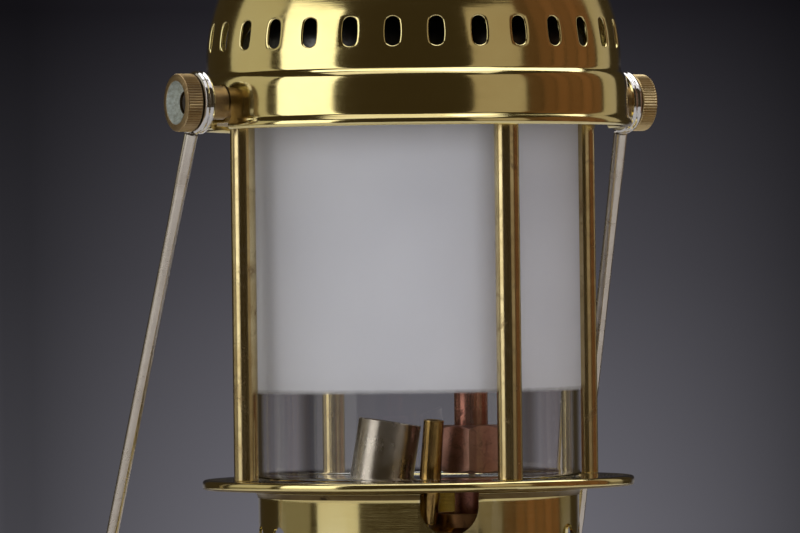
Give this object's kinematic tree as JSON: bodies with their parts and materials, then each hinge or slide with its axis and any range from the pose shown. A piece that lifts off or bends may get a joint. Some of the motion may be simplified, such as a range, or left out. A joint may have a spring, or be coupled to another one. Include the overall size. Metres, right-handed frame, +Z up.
{
  "type": "mantle pressure lantern",
  "caption": "Brass pressure lantern: round tank with pump and gauge, perforated collar, guarded part-frosted glass, vented hood and swinging carrying bail.",
  "frame": {"origin": "centre of the tank's underside, on the lamp axis", "axes": "+Z up the lamp axis; -Y is the front, where the valve wheel is; the bail pivots lie along X"},
  "size_m": [0.173, 0.1814, 0.392],
  "materials": {
    "polished_brass": "polished, lightly tarnished",
    "aged_brass": "satin, aged",
    "worn_nickel": "worn nickel plate",
    "bright_chrome": "bright plate",
    "copper": "heat-darkened copper alloy",
    "sheet_steel": "plain sheet",
    "lamp_glass": "satin-frosted above a clear foot band",
    "gauge_glass": "clear",
    "fired_clay": "matte",
    "mantle_cloth": "woven, unburnt",
    "pump_leather": "oiled",
    "seal_rubber": "matte",
    "dial_enamel": "satin white",
    "black_enamel": "gloss black"
  },
  "bodies": {
    "lamp_frame": {"tank_shell": "polished_brass", "filler_neck": "aged_brass", "pump_tube": "aged_brass", "pump_cap": "polished_brass", "check_valve_housing": "aged_brass", "gallery_collar": "polished_brass", "flange_plate": "polished_brass", "guard_rod_front": "aged_brass", "guard_rod_right": "aged_brass", "guard_rod_back": "aged_brass", "guard_rod_left": "aged_brass", "top_ring": "aged_brass", "pivot_pin_left": "aged_brass", "pivot_pin_right": "aged_brass", "glass_globe": "lamp_glass", "inner_casing": "sheet_steel", "mixing_tube": "sheet_steel", "mixing_chamber": "aged_brass", "ceramic_nozzle": "fired_clay", "mantle": "mantle_cloth", "neck_bush": "aged_brass", "valve_block": "aged_brass", "generator_nut": "copper", "generator_tube": "copper", "jet": "aged_brass", "spirit_cup": "aged_brass", "spirit_spout": "aged_brass", "fuel_riser": "copper", "gland_nut": "aged_brass", "preheater_body": "aged_brass", "preheater_nozzle": "aged_brass", "preheater_dip_tube": "copper", "flame_tube": "worn_nickel"},
    "hood": {"hood_shell": "polished_brass", "hood_chimney": "polished_brass", "hood_cap": "polished_brass"},
    "bail": {"bail_wire": "worn_nickel", "bail_eye_left": "bright_chrome", "bail_eye_right": "bright_chrome"},
    "bail_nut_left": {"bail_nut_left": "aged_brass"},
    "bail_nut_right": {"bail_nut_right": "aged_brass"},
    "valve_wheel": {"valve_wheel": "black_enamel", "valve_spindle": "worn_nickel", "wheel_screw": "worn_nickel"},
    "jet_needle": {"needle_rod": "worn_nickel"},
    "pump_plunger": {"pump_rod": "worn_nickel", "pump_knob": "polished_brass", "piston_plate": "aged_brass", "piston_cup": "pump_leather", "piston_nut": "aged_brass"},
    "check_valve": {"check_valve_disc": "seal_rubber"},
    "filler_cap": {"filler_cap": "polished_brass", "filler_seal": "seal_rubber", "gauge_dial": "dial_enamel", "gauge_lens": "gauge_glass"},
    "gauge_needle": {"gauge_needle": "black_enamel"},
    "vent_screw": {"vent_screw": "aged_brass"},
    "preheater_lever": {"preheater_lever": "aged_brass"},
    "preheater_pin": {"preheater_pin": "worn_nickel"}
  },
  "joints": [
    {"name": "hood_lift", "type": "slide", "parent": "lamp_frame", "child": "hood", "axis": [0, 0, 1], "range_m": [0, 0.04]},
    {"name": "bail_swing", "type": "hinge", "parent": "lamp_frame", "child": "bail", "pos_m": [0, 0, 0.2654], "axis": [1, 0, 0], "range_deg": [0, 290]},
    {"name": "nut_left_turn", "type": "hinge", "parent": "lamp_frame", "child": "bail_nut_left", "pos_m": [-0.0783, 0, 0.2654], "axis": [-1, 0, 0], "continuous": true},
    {"name": "nut_right_turn", "type": "hinge", "parent": "lamp_frame", "child": "bail_nut_right", "pos_m": [0.0783, 0, 0.2654], "axis": [1, 0, 0], "continuous": true},
    {"name": "valve_turn", "type": "hinge", "parent": "lamp_frame", "child": "valve_wheel", "pos_m": [0, -0.06, 0.118], "axis": [0, -1, 0], "range_deg": [0, 180]},
    {"name": "needle_lift", "type": "slide", "parent": "lamp_frame", "child": "jet_needle", "axis": [0, 0, 1], "range_m": [0, 0.003]},
    {"name": "pump_stroke", "type": "slide", "parent": "lamp_frame", "child": "pump_plunger", "axis": [0.6209, -0.7399, 0.2588], "range_m": [0, 0.085]},
    {"name": "check_valve_lift", "type": "slide", "parent": "lamp_frame", "child": "check_valve", "axis": [-0.6209, 0.7399, -0.2588], "range_m": [0, 0.0015], "stiffness_N_per_m": 50, "springref_m": -0.002},
    {"name": "cap_turn", "type": "hinge", "parent": "lamp_frame", "child": "filler_cap", "pos_m": [-0.039, -0.0557, 0.0895], "axis": [-0.2868, -0.4096, 0.866], "continuous": true},
    {"name": "gauge_sweep", "type": "hinge", "parent": "filler_cap", "child": "gauge_needle", "pos_m": [-0.039, -0.0557, 0.0895], "axis": [0.2868, 0.4096, -0.866], "range_deg": [0, 250], "stiffness_Nm_per_rad": 0.0001},
    {"name": "vent_turn", "type": "hinge", "parent": "filler_cap", "child": "vent_screw", "pos_m": [-0.05701, -0.04829, 0.09686], "axis": [-0.8192, 0.5736, 0], "continuous": true},
    {"name": "lever_turn", "type": "hinge", "parent": "lamp_frame", "child": "preheater_lever", "pos_m": [-0.0542, -0.0237, 0.112], "axis": [-1, 0, 0], "range_deg": [0, 60]},
    {"name": "preheater_pin_draw", "type": "slide", "parent": "lamp_frame", "child": "preheater_pin", "axis": [-1, 0, 0], "range_m": [0, 0.0015]}
  ],
  "couplings": [
    {"joint": "needle_lift", "follows": "valve_turn", "m_per_rad": 0.00095},
    {"joint": "preheater_pin_draw", "follows": "lever_turn", "m_per_rad": 0.0014}
  ]
}
